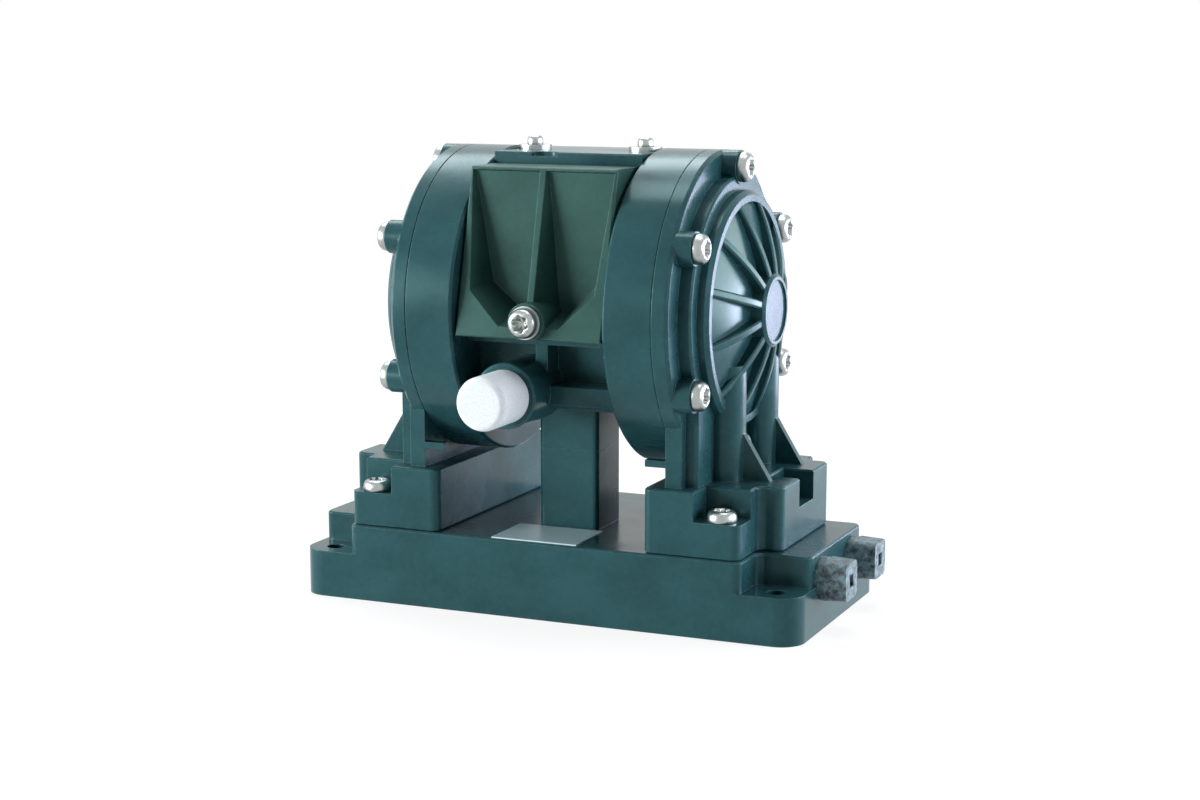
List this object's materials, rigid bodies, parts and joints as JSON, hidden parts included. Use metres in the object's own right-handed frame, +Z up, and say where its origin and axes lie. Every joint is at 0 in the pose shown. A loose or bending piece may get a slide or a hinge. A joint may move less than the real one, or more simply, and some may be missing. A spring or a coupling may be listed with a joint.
{
  "type": "air operated diaphragm pump",
  "caption": "Small air operated double diaphragm pump with ribbed domed fluid covers on a port manifold base, a front air valve and a white silencer.",
  "frame": {"origin": "centre of the base manifold's underside", "axes": "+X along the pump axis towards the plugged port end, +Y away from the air valve and silencer, +Z up"},
  "size_m": [0.2032, 0.1333, 0.1684],
  "materials": {
    "moulded_casing": "satin moulded glass-filled polypropylene, dark grey-green",
    "stainless_steel": "bright stainless steel",
    "seal_rubber": "matt black nitrile rubber",
    "diaphragm_rubber": "matt dark elastomer",
    "aluminium": "turned aluminium",
    "natural_polypropylene": "natural translucent polypropylene",
    "acetal": "smooth white acetal",
    "ptfe": "smooth white PTFE",
    "sintered_polyethylene": "white porous sintered polyethylene",
    "plug_plastic": "rough dark moulded plastic",
    "plate_foil": "bare silver foil plate"
  },
  "bodies": {
    "casing": {"base_manifold": "moulded_casing", "fluid_cover_right": "moulded_casing", "fluid_cover_left": "moulded_casing", "air_cover_right": "moulded_casing", "air_cover_left": "moulded_casing", "centre_housing": "moulded_casing", "valve_body": "moulded_casing", "valve_gasket": "seal_rubber", "valve_sleeve": "aluminium", "valve_end_caps": "aluminium", "valve_screw": "stainless_steel", "valve_washer": "stainless_steel", "top_screws": "stainless_steel", "top_washers": "stainless_steel", "silencer": "sintered_polyethylene", "shaft_bushes": "acetal", "shaft_seals": "seal_rubber", "cover_screws_right": "stainless_steel", "cover_screws_left": "stainless_steel", "foot_screws_right": "stainless_steel", "foot_screws_left": "stainless_steel", "chamber_screws_right": "stainless_steel", "chamber_screws_left": "stainless_steel", "diaphragm_right": "diaphragm_rubber", "diaphragm_left": "diaphragm_rubber", "inlet_seat_right": "natural_polypropylene", "inlet_seat_left": "natural_polypropylene", "outlet_seat_right": "natural_polypropylene", "outlet_seat_left": "natural_polypropylene", "outlet_retainer_right": "natural_polypropylene", "outlet_retainer_left": "natural_polypropylene", "outlet_spring_right": "stainless_steel", "outlet_spring_left": "stainless_steel", "port_seals_right": "seal_rubber", "port_seals_left": "seal_rubber", "inlet_plug": "plug_plastic", "outlet_plug": "plug_plastic", "rating_plate": "plate_foil"},
    "rod": {"diaphragm_rod": "stainless_steel", "inner_plate_right": "aluminium", "inner_plate_left": "aluminium", "outer_plate_right": "natural_polypropylene", "outer_plate_left": "natural_polypropylene"},
    "spool": {"valve_spool": "acetal"},
    "inlet_ball_right": {"inlet_ball_right": "ptfe"},
    "outlet_ball_right": {"outlet_ball_right": "ptfe"},
    "inlet_ball_left": {"inlet_ball_left": "ptfe"},
    "outlet_ball_left": {"outlet_ball_left": "ptfe"}
  },
  "joints": [
    {"name": "rod_slide", "type": "slide", "parent": "casing", "child": "rod", "axis": [1, 0, 0], "range_m": [-0.006, 0.006], "deforming": ["diaphragm_right", "diaphragm_left"]},
    {"name": "spool_slide", "type": "slide", "parent": "casing", "child": "spool", "axis": [1, 0, 0], "range_m": [-0.004, 0.004]},
    {"name": "inlet_lift_right", "type": "slide", "parent": "casing", "child": "inlet_ball_right", "axis": [0, 0, 1], "range_m": [0, 0.003]},
    {"name": "outlet_drop_right", "type": "slide", "parent": "casing", "child": "outlet_ball_right", "axis": [0, 0, -1], "range_m": [0, 0.003], "stiffness_N_per_m": 60, "springref_m": -0.003, "deforming": ["outlet_spring_right"]},
    {"name": "inlet_lift_left", "type": "slide", "parent": "casing", "child": "inlet_ball_left", "axis": [0, 0, 1], "range_m": [0, 0.003]},
    {"name": "outlet_drop_left", "type": "slide", "parent": "casing", "child": "outlet_ball_left", "axis": [0, 0, -1], "range_m": [0, 0.003], "stiffness_N_per_m": 60, "springref_m": -0.003, "deforming": ["outlet_spring_left"]}
  ]
}
